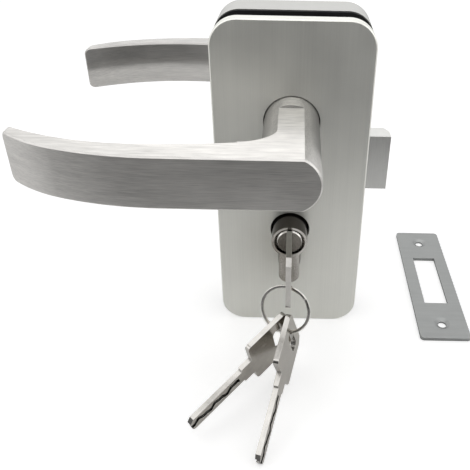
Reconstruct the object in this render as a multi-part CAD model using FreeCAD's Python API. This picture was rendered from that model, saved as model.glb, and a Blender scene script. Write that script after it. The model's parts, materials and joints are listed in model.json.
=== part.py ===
import FreeCAD, Part
import math
import os

V = FreeCAD.Vector

# Lever lock for a glass door, in millimetres. X runs to the right along the front plate, toward
# the bolt. Y runs from the front lever to the rear one and is zero in the bolt's middle plane.
# Z is up, and zero is the bottom edge of the case.

# Plates, glass and case
plate_width = 70.0
plate_height = 161.0
plate_corner = 12.0
plate_bevel = 0.6
front_plate_thickness = 5.2
glass_thickness = 8.0
gasket_thickness = 1.1
gasket_inset = 0.4
case_depth = 17.0
case_wall = 2.5
cover_thickness = 1.5
cover_gap = 0.1

# How far the handle's axis lies below the top edge, and the bolt and the cylinder below that axis
handle_below_top = 45.2
bolt_below_handle = 29.35
cylinder_below_handle = 56.85

# Clearances
running_gap = 0.05
slide_gap = 0.1
layer_gap = 0.2
overcut = 1.0

# Limits for finding flat and parallel edges
flat_limit = 1e-4
parallel_limit = 0.01

# Levers
lever_reach = 110.0
lever_height = 21.94
lever_standoff = 55.2
neck_radius = 12.17
neck_hole_gap = 0.4
neck_depth = 2.6
collar_length = 9.0
arm_thickness = 10.6
arm_straight = 48.0
outer_bend_radius = 128.0
outer_bend_run = 40.0
outer_tip_drop = 19.2
inner_crown_run = 58.0
inner_root_radius = 250.0
inner_tip_radius = 105.0
flare_radius = 10.5
flare_seat = 13.6
lever_bevel = 0.7
tip_round = 3.0
spigot_radius = 9.0
spindle_width = 8.0
spindle_depth = 34.0
grub_radius = 2.0
grub_length = 7.8

# Follower, the hub that the spindle turns
lever_range = 40.0
hub_radius = 11.0
hub_journal_radius = 8.0
hub_arm_root = 9.0
hub_arm_width = 6.5
arm_tip_share = 0.7
bolt_drive_radius = 18.0
return_drive_radius = 13.0
boss_wall = 1.5
flank_steps = 6

# Latch bolt, its tail and its spring
bolt_thickness = 10.1
bolt_height = 29.1
bolt_reach = 12.9
bolt_length = 17.9
bolt_nose_drop = 2.8
bolt_nose_width = 6.55
tail_thickness = 3.85
tail_arm_height = 11.0
tail_strip_width = 6.0
tail_top_height = 12.0
tail_rise = 25.2
tail_overlap = 6.0
tail_hub_gap = 1.0
notch_depth = 3.0
stud_radius = 1.5
rivet_radius = 1.0
rivet_shares = (0.28, 0.75)
latch_spring_radius = 2.6
latch_spring_drop = 6.45
latch_spring_y = 0.3
latch_bore_depth = 8.0
latch_seat_inset = 12.0
seat_thickness = 2.5
spring_wire = 0.8
guide_rib = 2.0
guide_rib_gap = 0.5

# Return cap and its spring
cap_height = 8.15
cap_width = 8.4
cap_start = 11.6
return_spring_radius = 3.1
return_spring_y = 2.0
return_spring_length = 26.0

# Cylinder
barrel_radius = 8.5
leg_width = 10.0
leg_drop = 24.45
cylinder_stand = 10.9
barrel_cutout_gap = 0.94
leg_cutout_gap = 0.45
plug_radius = 6.3
plug_head_radius = 7.0
plug_head_depth = 1.6
plug_head_gap = 0.3
plug_bevel = 1.3
cam_gap_width = 10.3
cam_width = 7.8
cam_hub_radius = 8.0
cam_arm_root = 6.0
cam_arm_width = 3.8
cam_drive_radius = 9.0
cam_pocket_radius = 17.2
key_range = 90.0
clip_radius = 7.6
clip_groove = 0.9
clip_thickness = 0.8
pin_count = 5
rear_pin_count = 3
pin_pitch = 4.0
pin_first = 4.6
pin_radius = 1.3
pin_bore_gap = 0.12
pin_floor = 1.6
driver_length = 5.0
fixing_screw_drop = 20.45
fixing_screw_radius = 2.5
fixing_head_radius = 4.6
fixing_head_depth = 2.4
fixing_socket_radius = 1.5

# Deadlock slide
slide_width = 8.8
slide_height = 16.4
slide_thickness = 2.3
slide_stud_inset = 3.0

# Keys
bow_length = 24.0
bow_width = 26.6
bow_drop = 1.5
bow_corner = 2.0
bow_slant = 3.0
key_thickness = 2.4
bow_slot_width = 5.8
bow_slot_length = 15.4
bow_slot_inset = 4.4
shank_length = 6.2
shank_width = 10.2
blade_length = 30.4
blade_width = 7.2
blade_tip = 2.0
groove_width = 1.8
groove_depth = 0.5
keyway_gap = 0.15
keyway_margin = 0.4
bitting_depths = (0.9, 1.5, 0.6, 1.2, 0.8)

# Key ring and the two keys that hang on it, with their tips close above the table
ring_radius = 11.1
ring_wire = 1.5
ring_turn_width = 0.6
ring_turn_gap = 0.1
ring_groove = 0.35
ring_left_of_slot = 1.22
ring_before_slot = 3.6
ring_below_slot = 16.73
ring_side = V(0.9525, -0.3044, 0.0)
ring_down = V(-0.0882, -0.2759, -0.9571)
left_key_right_of_ring = 1.61
left_key_behind_ring = 4.15
left_key_below_ring = 15.63
left_key_along = V(-0.6773, -0.6793, -0.2826)
left_key_across = V(0.1328, 0.2649, -0.9551)
right_key_right_of_ring = 4.29
right_key_behind_ring = 3.82
right_key_below_ring = 14.24
right_key_along = V(-0.2267, -0.8942, -0.3859)
right_key_across = V(0.1754, 0.3523, -0.9193)

# Clamp screws, sleeves and cover screws
clamp_spread = 26.0
clamp_inset = 13.0
clamp_pillar_radius = 4.5
clamp_screw_radius = 2.45
clamp_head_radius = 4.9
clamp_head_depth = 2.6
clamp_socket_radius = 1.5
clamp_engagement = 4.0
sleeve_radius = 5.0
cover_pillar_radius = 3.0
cover_screw_radius = 1.4
cover_head_radius = 2.6
cover_screw_length = 7.5

# Strike plate, which lies flat beside the lock
strike_x = 82.5
strike_y = 9.3
strike_width = 26.4
strike_length = 94.6
strike_thickness = 2.0
strike_corner = 2.0
strike_slot_width = 13.0
strike_slot_length = 40.8
strike_hole_spacing = 72.8
strike_hole_radius = 2.25
strike_sink_radius = 4.3

# Heights of the handle's axis, the bolt's middle and the cylinder's axis
handle_height = plate_height - handle_below_top
bolt_centre = handle_height - bolt_below_handle
cylinder_height = handle_height - cylinder_below_handle

# Planes across the lock
case_rear = case_depth / 2
case_front = -case_rear
glass_rear = case_front - gasket_thickness
glass_front = glass_rear - glass_thickness
plate_back = glass_front - gasket_thickness
plate_front = plate_back - front_plate_thickness
mirror_y = (case_rear + plate_front) / 2
cover_inner = case_front + cover_thickness
back_wall = case_rear - case_wall
inner_half = plate_width / 2 - case_wall
cylinder_front = plate_front - cylinder_stand
cylinder_rear = case_rear + cylinder_stand
bearing_front = plate_front + neck_depth + slide_gap
bearing_length = plate_back - bearing_front
bearing_back = case_rear - neck_depth - slide_gap
boss_front = bearing_back - bearing_length
hub_front = cover_inner + layer_gap
hub_back = boss_front - layer_gap
tail_front = -bolt_thickness / 2
tail_back = tail_front + tail_thickness
cap_front = tail_back + layer_gap

# Turns in radians and the strokes that the flanks give
lever_turn = math.radians(lever_range)
key_turn = math.radians(key_range)
bolt_travel = bolt_drive_radius * lever_turn
cap_travel = return_drive_radius * lever_turn
slide_travel = cam_drive_radius * key_turn

# Sizes that several pieces share
neck_hole_radius = neck_radius + neck_hole_gap
socket_half = spindle_width / 2 + running_gap
bolt_end = plate_width / 2 + bolt_reach
bolt_start = bolt_end - bolt_length
bolt_top = bolt_centre + bolt_height / 2
bolt_bottom = bolt_centre - bolt_height / 2
tail_bottom = bolt_top - tail_arm_height
tail_left = -hub_radius - tail_hub_gap - tail_strip_width
tail_right = bolt_start + tail_overlap
tail_top = handle_height + tail_rise
tail_stud_x = tail_left + tail_strip_width / 2
tail_stud_z = tail_bottom + tail_arm_height / 2
cap_bottom = handle_height + running_gap
cap_top = cap_bottom + cap_height
cap_middle = cap_start + cap_width / 2
slide_bottom = cylinder_height + running_gap
slide_left = cam_hub_radius + layer_gap
slide_right = slide_left + slide_width
slide_middle = slide_left + slide_width / 2
slide_studs = (slide_bottom + slide_stud_inset, slide_bottom + slide_height - slide_stud_inset)
stud_half = stud_radius + running_gap
latch_seat_x = -inner_half + latch_seat_inset
latch_spring_height = bolt_centre - latch_spring_drop
spring_seat_z = cap_top + return_spring_length
leg_bottom = cylinder_height - leg_drop
fixing_screw_z = cylinder_height - fixing_screw_drop
cam_back = cam_width / 2
cam_front = -cam_back
body_gap = cam_gap_width / 2
bore_radius = plug_radius + running_gap
keyway_half = key_thickness / 2 + keyway_gap
keyway_bottom = cylinder_height - blade_width / 2 - keyway_margin
pin_bore_radius = pin_radius + pin_bore_gap
key_end_y = cylinder_front - shank_length - bow_length
slot_middle = V(0, key_end_y + bow_slot_inset + bow_slot_width / 2, cylinder_height - bow_drop)
ring_centre = slot_middle - V(ring_left_of_slot, ring_before_slot, ring_below_slot)
left_key_end = ring_centre + V(left_key_right_of_ring, left_key_behind_ring, -left_key_below_ring)
right_key_end = ring_centre + V(right_key_right_of_ring, right_key_behind_ring, -right_key_below_ring)
clamp_heights = (clamp_inset, plate_height - clamp_inset)
clamp_places = [(side * clamp_spread, z) for side in (-1, 1) for z in clamp_heights]
cover_places = (
    (-clamp_spread, cylinder_height - barrel_radius),
    (clamp_spread, cylinder_height - barrel_radius),
    (clamp_spread, handle_height + hub_arm_width),
    (-cover_pillar_radius, plate_height - clamp_inset + cover_pillar_radius),
)


def box(x0, x1, y0, y1, z0, z1):
    return Part.makeBox(x1 - x0, y1 - y0, z1 - z0, V(x0, y0, z0))


def disc(radius, y0, y1, x=0.0, z=0.0):
    return Part.makeCylinder(radius, y1 - y0, V(x, y0, z), V(0, 1, 0))


def cone(radius0, radius1, y0, y1, x, z):
    return Part.makeCone(radius0, radius1, y1 - y0, V(x, y0, z), V(0, 1, 0))


def rod(radius, start, end):
    return Part.makeCylinder(radius, (end - start).Length, start, end - start)


def slab(points, y0, y1):
    corners = [V(x, y0, z) for x, z in points]
    face = Part.Face(Part.makePolygon(corners + corners[:1]))
    return face.extrude(V(0, y1 - y0, 0))


def edges_along(shape, axis):
    found = []
    for edge in shape.Edges:
        ends = [vertex.Point for vertex in edge.Vertexes]
        if len(ends) == 2 and (ends[1] - ends[0]).normalize().cross(axis).Length < parallel_limit:
            found.append(edge)
    return found


def rim_at(shape, y):
    return [e for e in shape.Edges if abs(e.BoundBox.YMin - y) + abs(e.BoundBox.YMax - y) < flat_limit]


def rounded_box(x0, x1, y0, y1, z0, z1, radius, axis=V(0, 1, 0)):
    shape = box(x0, x1, y0, y1, z0, z1)
    return shape.makeFillet(radius, edges_along(shape, axis))


def plate_outline(inset, y0, y1):
    half = plate_width / 2 - inset
    return rounded_box(-half, half, y0, y1, inset, plate_height - inset, plate_corner - inset)


def slot_x(x0, x1, z, y0, y1):
    ends = [disc(stud_half, y0, y1, x, z) for x in (x0, x1)]
    return box(x0, x1, y0, y1, z - stud_half, z + stud_half).fuse(ends)


def slot_z(x, z0, z1, y0, y1):
    ends = [disc(stud_half, y0, y1, x, z) for z in (z0, z1)]
    return box(x - stud_half, x + stud_half, y0, y1, z0, z1).fuse(ends)


def euro_profile(barrel_gap, leg_gap, y0, y1):
    half = leg_width / 2 + leg_gap
    foot = leg_bottom + leg_width / 2
    barrel = disc(barrel_radius + barrel_gap, y0, y1, z=cylinder_height)
    leg = box(-half, half, y0, y1, foot, cylinder_height)
    return barrel.fuse([leg, disc(half, y0, y1, z=foot)]).removeSplitter()


def euro_cutout(y0, y1):
    return euro_profile(barrel_cutout_gap, leg_cutout_gap, y0, y1)


def turned(point, angle):
    x = point.x * math.cos(angle) - point.z * math.sin(angle)
    z = point.x * math.sin(angle) + point.z * math.cos(angle)
    return V(x, point.y, z)


def driving_arm(radius, turn, direction, root_radius, width, y0, y1, centre):
    # An arm whose involute flank moves a flat face by radius times the angle turned. The flank
    # unwinds clockwise from the given direction, and the arm's body lies behind it.
    flank = []
    for step in range(flank_steps + 1):
        a = turn * step / flank_steps
        ahead = V(math.cos(a) + a * math.sin(a), 0, a * math.cos(a) - math.sin(a)) * radius
        flank.append(turned(ahead, direction) + V(0, y0, 0))
    curve = Part.BSplineCurve()
    curve.interpolate(flank)
    reach = math.hypot(flank[-1].x, flank[-1].z)
    root = V(root_radius * math.cos(direction), y0, root_radius * math.sin(direction))
    tip_back = turned(flank[-1], -width * arm_tip_share / reach)
    root_back = turned(root, -width / root_radius)
    sides = Part.makePolygon([flank[-1], tip_back, root_back, root, flank[0]])
    face = Part.Face(Part.Wire([curve.toShape()] + sides.Edges))
    arm = face.extrude(V(0, y1 - y0, 0))
    arm.translate(V(0, 0, centre))
    return arm


def tube(outer, inner, start, end):
    return rod(outer, start, end).cut(rod(inner, start, end))


def front_plate():
    plate = plate_outline(0, plate_front, plate_back)
    plate = plate.makeChamfer(plate_bevel, rim_at(plate, plate_front))
    holes = [disc(neck_hole_radius, plate_front, plate_back, z=handle_height)]
    holes.append(euro_cutout(plate_front, plate_back))
    for x, z in clamp_places:
        holes.append(disc(clamp_screw_radius + running_gap, plate_back - clamp_engagement, plate_back, x, z))
    return plate.cut(holes)


def gasket(y0, y1):
    holes = [disc(neck_hole_radius, y0, y1, z=handle_height), euro_cutout(y0, y1)]
    holes += [disc(sleeve_radius + running_gap, y0, y1, x, z) for x, z in clamp_places]
    return plate_outline(gasket_inset, y0, y1).cut(holes)


def lock_case():
    shell = plate_outline(0, case_front, case_rear)
    shell = shell.makeChamfer(plate_bevel, rim_at(shell, case_rear))
    shell = shell.cut(plate_outline(case_wall, case_front, back_wall))
    boss_radius = neck_hole_radius + boss_wall
    added = [disc(boss_radius, boss_front, back_wall, z=handle_height)]
    added += [disc(clamp_pillar_radius, cover_inner, back_wall, x, z) for x, z in clamp_places]
    added += [disc(cover_pillar_radius, cover_inner, back_wall, x, z) for x, z in cover_places]
    rib_left = slide_right + guide_rib_gap
    rib_top = bolt_top + slide_gap
    rib_bottom = bolt_bottom - slide_gap
    added.append(box(rib_left, inner_half, tail_front, back_wall, rib_top, rib_top + guide_rib))
    added.append(box(rib_left, inner_half, tail_front, back_wall, rib_bottom - guide_rib, rib_bottom))
    latch_half = latch_spring_radius + spring_wire
    added.append(box(latch_seat_x - seat_thickness, latch_seat_x, latch_spring_y - latch_half, back_wall,
                     latch_spring_height - latch_half, latch_spring_height + latch_half))
    seat_half = return_spring_radius + spring_wire
    added.append(box(cap_middle - seat_half, cap_middle + seat_half, cap_front, back_wall,
                     spring_seat_z, spring_seat_z + seat_thickness))
    return shell.fuse(added).cut(case_holes()).removeSplitter()


def case_holes():
    holes = [disc(neck_hole_radius, bearing_back, case_rear, z=handle_height)]
    holes.append(disc(neck_hole_radius, boss_front, bearing_back, z=handle_height))
    holes.append(euro_cutout(back_wall, case_rear))
    for x, z in clamp_places:
        holes.append(disc(clamp_screw_radius + running_gap, case_front, case_rear, x, z))
        holes.append(cone(clamp_screw_radius + running_gap, clamp_head_radius + running_gap,
                          case_rear - clamp_head_depth, case_rear, x, z))
    for x, z in cover_places:
        holes.append(disc(cover_screw_radius + running_gap, cover_inner, case_front + cover_screw_length, x, z))
    half = bolt_thickness / 2 + slide_gap
    holes.append(box(inner_half, plate_width / 2, -half, half, bolt_bottom - slide_gap, bolt_top + slide_gap))
    holes.append(slot_z(cap_middle, cap_bottom + cap_height / 2, cap_bottom + cap_height / 2 + cap_travel,
                        back_wall, case_rear - case_wall / 3))
    side = V(plate_width / 2, 0, fixing_screw_z)
    inside = V(inner_half, 0, fixing_screw_z)
    holes.append(rod(fixing_screw_radius + running_gap, inside, side))
    head = Part.makeCone(fixing_screw_radius, fixing_head_radius + running_gap, fixing_head_depth,
                         side - V(fixing_head_depth, 0, 0), V(1, 0, 0))
    holes.append(head)
    return holes


def case_cover():
    cover = plate_outline(case_wall + cover_gap, case_front, cover_inner)
    holes = [disc(hub_journal_radius + running_gap, case_front, cover_inner, z=handle_height)]
    holes.append(euro_cutout(case_front, cover_inner))
    for x, z in clamp_places:
        holes.append(disc(clamp_screw_radius + running_gap, case_front, cover_inner, x, z))
    for x, z in cover_places:
        holes.append(cone(cover_head_radius + running_gap, cover_screw_radius + running_gap,
                          case_front, cover_inner, x, z))
    holes.append(slot_x(tail_stud_x - bolt_travel, tail_stud_x, tail_stud_z, case_front, cover_inner))
    holes.append(slot_z(slide_middle, slide_studs[0], slide_studs[1] + slide_travel, case_front, cover_inner))
    return cover.cut(holes)


def cover_screws():
    screws = []
    for x, z in cover_places:
        head = cone(cover_head_radius, cover_screw_radius, case_front, cover_inner, x, z)
        screws.append(head.fuse(disc(cover_screw_radius, cover_inner, case_front + cover_screw_length, x, z)))
    return Part.makeCompound(screws)


def clamp_screws():
    screws = []
    for x, z in clamp_places:
        neck = case_rear - clamp_head_depth
        shank = disc(clamp_screw_radius, plate_back - clamp_engagement, neck, x, z)
        head = cone(clamp_screw_radius, clamp_head_radius, neck, case_rear, x, z)
        socket = disc(clamp_socket_radius, neck + clamp_head_depth / 4, case_rear, x, z)
        screws.append(shank.fuse(head).cut(socket))
    return Part.makeCompound(screws)


def clamp_sleeves():
    sleeves = []
    for x, z in clamp_places:
        sleeves.append(tube(sleeve_radius, clamp_screw_radius + running_gap,
                            V(x, plate_back, z), V(x, case_front, z)))
    return Part.makeCompound(sleeves)


def bearing(y0, y1):
    outside = neck_hole_radius
    return tube(outside, spigot_radius + running_gap, V(0, y0, handle_height), V(0, y1, handle_height))


def circle_drop(radius, run):
    return radius - math.sqrt(radius * radius - run * run)


def arc_by_drop(start, end, radius, low, rise):
    # Arc from start to end on a circle of the given radius whose lowest point is at x = low.
    middle_x = (start.x + end.x) / 2
    middle = V(middle_x, rise + circle_drop(radius, low - middle_x), start.z)
    return Part.Arc(start, middle, end).toShape()


def tangent_arc(start, heading, end):
    chord = end - start
    bend = heading.getAngle(chord)
    side = heading - chord * (heading.dot(chord) / chord.dot(chord))
    middle = (start + end) / 2 + side.normalize() * (chord.Length / 2 * math.tan(bend / 2))
    return Part.Arc(start, middle, end).toShape()


def lever_arm():
    # Seen from above the outer side is straight, then bends toward the door on two arcs, and the
    # inner side is two arcs that meet at the crown.
    face = plate_front - lever_standoff
    crown = face + arm_thickness
    z = handle_height - lever_height / 2
    bend_x = -arm_straight - outer_bend_run
    root = V(0, face, z)
    straight_end = V(-arm_straight, face, z)
    bend_end = V(bend_x, face + circle_drop(outer_bend_radius, outer_bend_run), z)
    outer_tip = V(-lever_reach, face + outer_tip_drop, z)
    inner_tip = V(-lever_reach, crown + circle_drop(inner_tip_radius, lever_reach - inner_crown_run), z)
    crown_point = V(-inner_crown_run, crown, z)
    inner_root = V(0, crown + circle_drop(inner_root_radius, inner_crown_run), z)
    slope = math.asin(outer_bend_run / outer_bend_radius)
    edges = [
        Part.makeLine(root, straight_end),
        arc_by_drop(straight_end, bend_end, outer_bend_radius, -arm_straight, face),
        tangent_arc(bend_end, V(-math.cos(slope), math.sin(slope), 0), outer_tip),
        Part.makeLine(outer_tip, inner_tip),
        arc_by_drop(inner_tip, crown_point, inner_tip_radius, -inner_crown_run, crown),
        arc_by_drop(crown_point, inner_root, inner_root_radius, -inner_crown_run, crown),
        Part.makeLine(inner_root, root),
    ]
    arm = Part.Face(Part.Wire(edges)).extrude(V(0, 0, lever_height))
    tip_edges = [e for e in edges_along(arm, V(0, 1, 0)) if e.BoundBox.XMax < overcut - lever_reach]
    arm = arm.makeFillet(tip_round, tip_edges)
    long_edges = [e for e in arm.Edges if e.BoundBox.ZLength < flat_limit and e.BoundBox.XLength > tip_round]
    return arm.makeChamfer(lever_bevel, long_edges)


def lever_neck():
    face = plate_front - lever_standoff
    collar = plate_front - collar_length
    half = lever_height / 2
    low = handle_height - half
    high = handle_height + half
    wide = neck_radius + overcut
    bar = disc(neck_radius, face, collar, z=handle_height)
    bar = bar.common(box(-wide, wide, face, collar, low, high))
    bar = bar.makeChamfer(lever_bevel, rim_at(bar, face))
    seat = face + flare_seat
    wall = neck_radius - lever_bevel
    edge = neck_radius + flare_radius
    lean = flare_radius * (1 - math.sqrt(0.5))
    points = [V(wall, seat, 0), V(edge, seat, 0)]
    arc = Part.Arc(points[1], V(neck_radius + lean, seat + lean, 0), V(neck_radius, seat + flare_radius, 0))
    closing = Part.makePolygon([V(neck_radius, seat + flare_radius, 0), V(wall, seat + flare_radius, 0),
                                V(wall, face + arm_thickness / 2, 0), V(edge, face + arm_thickness / 2, 0),
                                V(edge, seat, 0)])
    flare = Part.Face(Part.Wire([arc.toShape()] + closing.Edges)).revolve(V(0, 0, 0), V(0, 1, 0), 360)
    flare.translate(V(0, 0, handle_height))
    flare = flare.common(box(-edge, 0, face, seat + flare_radius, low, high))
    round_part = disc(neck_radius, collar, plate_front + neck_depth, z=handle_height)
    spigot_end = plate_back - slide_gap
    spigot = disc(spigot_radius, plate_front + neck_depth, spigot_end, z=handle_height)
    return bar.fuse([flare, round_part, spigot])


def grub_place():
    return plate_front - collar_length / 2


def front_lever():
    lever = lever_arm().fuse(lever_neck())
    socket_end = plate_front - spindle_depth - slide_gap
    socket = box(-socket_half, socket_half, socket_end, plate_back,
                 handle_height - socket_half, handle_height + socket_half)
    grub_hole = rod(grub_radius + running_gap, V(0, grub_place(), handle_height - neck_radius - overcut),
                    V(0, grub_place(), handle_height))
    return lever.cut([socket, grub_hole]).removeSplitter()


def rear_copy(shape):
    return shape.mirror(V(0, mirror_y, 0), V(0, 1, 0))


def grub_screws():
    top = handle_height - spindle_width / 2
    front = rod(grub_radius, V(0, grub_place(), top - grub_length), V(0, grub_place(), top))
    socket = rod(grub_radius / 2, V(0, grub_place(), top - grub_length),
                 V(0, grub_place(), top - grub_length / 2))
    front = front.cut(socket)
    return Part.makeCompound([front, rear_copy(front)])


def spindle():
    half = spindle_width / 2
    front = plate_front - spindle_depth
    return box(-half, half, front, 2 * mirror_y - front, handle_height - half, handle_height + half)


def follower():
    hub = disc(hub_radius, hub_front, hub_back, z=handle_height)
    hub = hub.fuse(disc(hub_journal_radius, case_front + slide_gap, hub_front, z=handle_height))
    bolt_arm = driving_arm(bolt_drive_radius, lever_turn, math.pi / 2, hub_arm_root, hub_arm_width,
                           tail_front, tail_back, handle_height)
    return_arm = driving_arm(return_drive_radius, lever_turn, 0, hub_arm_root, hub_arm_width,
                             cap_front, hub_back, handle_height)
    socket = box(-socket_half, socket_half, case_front, hub_back,
                 handle_height - socket_half, handle_height + socket_half)
    return hub.fuse([bolt_arm, return_arm]).cut(socket).removeSplitter()


def rivet_places():
    z = bolt_top - 2 * rivet_radius
    return [(bolt_start + tail_overlap * share, z) for share in rivet_shares]


def latch_bolt():
    front = -bolt_thickness / 2
    back = bolt_thickness / 2
    nose_radius = (bolt_nose_drop ** 2 + bolt_nose_width ** 2) / (2 * bolt_nose_drop)
    nose_start = back - bolt_nose_width
    half_width = bolt_nose_width / 2
    middle = V(bolt_end - circle_drop(nose_radius, half_width), nose_start + half_width, bolt_bottom)
    nose = Part.Arc(V(bolt_end, nose_start, bolt_bottom), middle,
                    V(bolt_end - bolt_nose_drop, back, bolt_bottom)).toShape()
    sides = Part.makePolygon([V(bolt_end - bolt_nose_drop, back, bolt_bottom), V(bolt_start, back, bolt_bottom),
                              V(bolt_start, front, bolt_bottom), V(bolt_end, front, bolt_bottom),
                              V(bolt_end, nose_start, bolt_bottom)])
    head = Part.Face(Part.Wire([nose] + sides.Edges)).extrude(V(0, 0, bolt_height))
    rebate = box(bolt_start, tail_right, front, tail_back, tail_bottom, bolt_top)
    bore_end = V(bolt_start + latch_bore_depth, latch_spring_y, latch_spring_height)
    bore = rod(latch_spring_radius + layer_gap, V(bolt_start, latch_spring_y, latch_spring_height), bore_end)
    holes = [disc(rivet_radius + running_gap, front, back - rivet_radius, x, z) for x, z in rivet_places()]
    return head.cut([rebate, bore] + holes)


def bolt_tail():
    # A plate round the left of the hub, from the bolt to the face that the hub's arm pushes.
    strip_right = tail_left + tail_strip_width
    arm_bottom = tail_top - tail_top_height
    notch_left = slide_left - layer_gap
    notch_right = slide_right + layer_gap
    notch_top = tail_bottom + notch_depth
    points = [
        (tail_left, tail_bottom), (notch_left, tail_bottom), (notch_left, notch_top),
        (notch_right, notch_top), (notch_right, tail_bottom), (tail_right, tail_bottom),
        (tail_right, bolt_top), (strip_right, bolt_top), (strip_right, arm_bottom),
        (-running_gap, arm_bottom), (-running_gap, tail_top), (tail_left, tail_top),
    ]
    plate = slab(points, tail_front, tail_back)
    stud = disc(stud_radius, case_front + slide_gap, tail_front, tail_stud_x, tail_stud_z)
    holes = [disc(rivet_radius + running_gap, tail_front, tail_back, x, z) for x, z in rivet_places()]
    return plate.fuse(stud).cut(holes)


def bolt_rivets():
    end = bolt_thickness / 2 - rivet_radius
    return Part.makeCompound([disc(rivet_radius, tail_front, end, x, z) for x, z in rivet_places()])


def latch_spring():
    start = V(latch_seat_x, latch_spring_y, latch_spring_height)
    end = V(bolt_start + latch_bore_depth, latch_spring_y, latch_spring_height)
    return tube(latch_spring_radius, latch_spring_radius - spring_wire, start, end)


def return_cap():
    cap = box(cap_start, cap_start + cap_width, cap_front, hub_back, cap_bottom, cap_top)
    stud = disc(stud_radius, hub_back, back_wall + case_wall / 2, cap_middle, cap_bottom + cap_height / 2)
    return cap.fuse(stud)


def return_spring():
    start = V(cap_middle, return_spring_y, cap_top)
    return tube(return_spring_radius, return_spring_radius - spring_wire, start,
                V(cap_middle, return_spring_y, spring_seat_z))


def pin_places():
    front = [cylinder_front + pin_first + pin_pitch * n for n in range(pin_count)]
    rear = [cylinder_rear - pin_first - pin_pitch * n for n in range(rear_pin_count)]
    return front, rear


def cylinder_body():
    body = euro_profile(0, 0, cylinder_front, cylinder_rear)
    cuts = [disc(bore_radius, cylinder_front, cylinder_rear, z=cylinder_height)]
    sink_radius = plug_head_radius + plug_head_gap
    sink = plug_head_depth + slide_gap
    cuts.append(disc(sink_radius, cylinder_front, cylinder_front + sink, z=cylinder_height))
    cuts.append(disc(sink_radius, cylinder_rear - sink, cylinder_rear, z=cylinder_height))
    cuts.append(disc(cam_pocket_radius, -body_gap, body_gap, z=cylinder_height))
    front, rear = pin_places()
    for y in front + rear:
        cuts.append(rod(pin_bore_radius, V(0, y, leg_bottom + pin_floor), V(0, y, cylinder_height)))
    cuts.append(rod(fixing_screw_radius + running_gap, V(-leg_width, 0, fixing_screw_z),
                    V(leg_width, 0, fixing_screw_z)))
    return body.cut(cuts)


def cylinder_screw():
    neck = plate_width / 2 - fixing_head_depth
    shank = rod(fixing_screw_radius, V(-leg_width / 2, 0, fixing_screw_z), V(neck, 0, fixing_screw_z))
    head = Part.makeCone(fixing_screw_radius, fixing_head_radius, fixing_head_depth,
                         V(neck, 0, fixing_screw_z), V(1, 0, 0))
    socket = rod(fixing_socket_radius, V(neck + fixing_head_depth / 4, 0, fixing_screw_z),
                 V(plate_width / 2, 0, fixing_screw_z))
    return shank.fuse(head).cut(socket)


def plug(y0, y1, pins):
    head = disc(plug_head_radius, y0, y0 + plug_head_depth, z=cylinder_height)
    barrel = disc(plug_radius, y0, y1, z=cylinder_height).fuse(head)
    barrel = barrel.makeChamfer(plug_bevel, rim_at(barrel, y0))
    keyway_end = y0 + blade_length + keyway_margin
    keyway = box(-keyway_half, keyway_half, y0, min(keyway_end, y1 - layer_gap),
                 keyway_bottom, cylinder_height + plug_head_radius)
    groove_start = y1 - layer_gap - clip_thickness
    groove = disc(plug_radius + overcut, groove_start, groove_start + clip_thickness, z=cylinder_height)
    groove = groove.cut(disc(plug_radius - clip_groove, groove_start, groove_start + clip_thickness,
                             z=cylinder_height))
    bores = [rod(pin_bore_radius, V(0, y, cylinder_height - plug_radius), V(0, y, cylinder_height))
             for y in pins]
    return barrel.cut([keyway, groove] + bores)


def plug_front():
    return plug(cylinder_front, cam_front, pin_places()[0])


def rear_plug():
    middle = (cylinder_front + cylinder_rear) / 2
    mirrored = [2 * middle - y for y in pin_places()[1]]
    length = cylinder_rear - cam_back - layer_gap
    blank = plug(cylinder_front, cylinder_front + length, mirrored)
    return blank.mirror(V(0, middle, 0), V(0, 1, 0))


def clip(groove_start):
    # A retaining ring with a gap on top.
    ring = tube(clip_radius, plug_radius - clip_groove + running_gap,
                V(0, groove_start, cylinder_height), V(0, groove_start + clip_thickness, cylinder_height))
    gap = plug_radius - clip_groove
    return ring.cut(box(-gap, gap, groove_start, groove_start + clip_thickness,
                        cylinder_height, cylinder_height + clip_radius))


def cam():
    hub = disc(cam_hub_radius, cam_front, cam_back, z=cylinder_height)
    arm = driving_arm(cam_drive_radius, key_turn, 0, cam_arm_root, cam_arm_width,
                      cam_front, cam_back, cylinder_height)
    return hub.fuse(arm).removeSplitter()


def key_pins():
    low = cylinder_height - math.sqrt(plug_radius ** 2 - pin_radius ** 2)
    high = cylinder_height - blade_width / 2 - slide_gap
    return Part.makeCompound([rod(pin_radius, V(0, y, low), V(0, y, high)) for y in pin_places()[0]])


def driver_pins():
    front, rear = pin_places()
    shear = cylinder_height - bore_radius - slide_gap
    pins = [rod(pin_radius, V(0, y, shear - driver_length), V(0, y, shear)) for y in front]
    pins += [rod(pin_radius, V(0, y, shear - driver_length), V(0, y, keyway_bottom)) for y in rear]
    return Part.makeCompound(pins)


def pin_springs():
    front, rear = pin_places()
    top = cylinder_height - bore_radius - slide_gap - driver_length
    springs = []
    for y in front + rear:
        springs.append(tube(pin_radius, pin_radius / 2, V(0, y, leg_bottom + pin_floor), V(0, y, top)))
    return Part.makeCompound(springs)


def deadlock_slide():
    slide = box(slide_left, slide_right, tail_front, tail_front + slide_thickness,
                slide_bottom, slide_bottom + slide_height)
    studs = [disc(stud_radius, case_front + slide_gap, tail_front, slide_middle, z) for z in slide_studs]
    return slide.fuse(studs)


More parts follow.
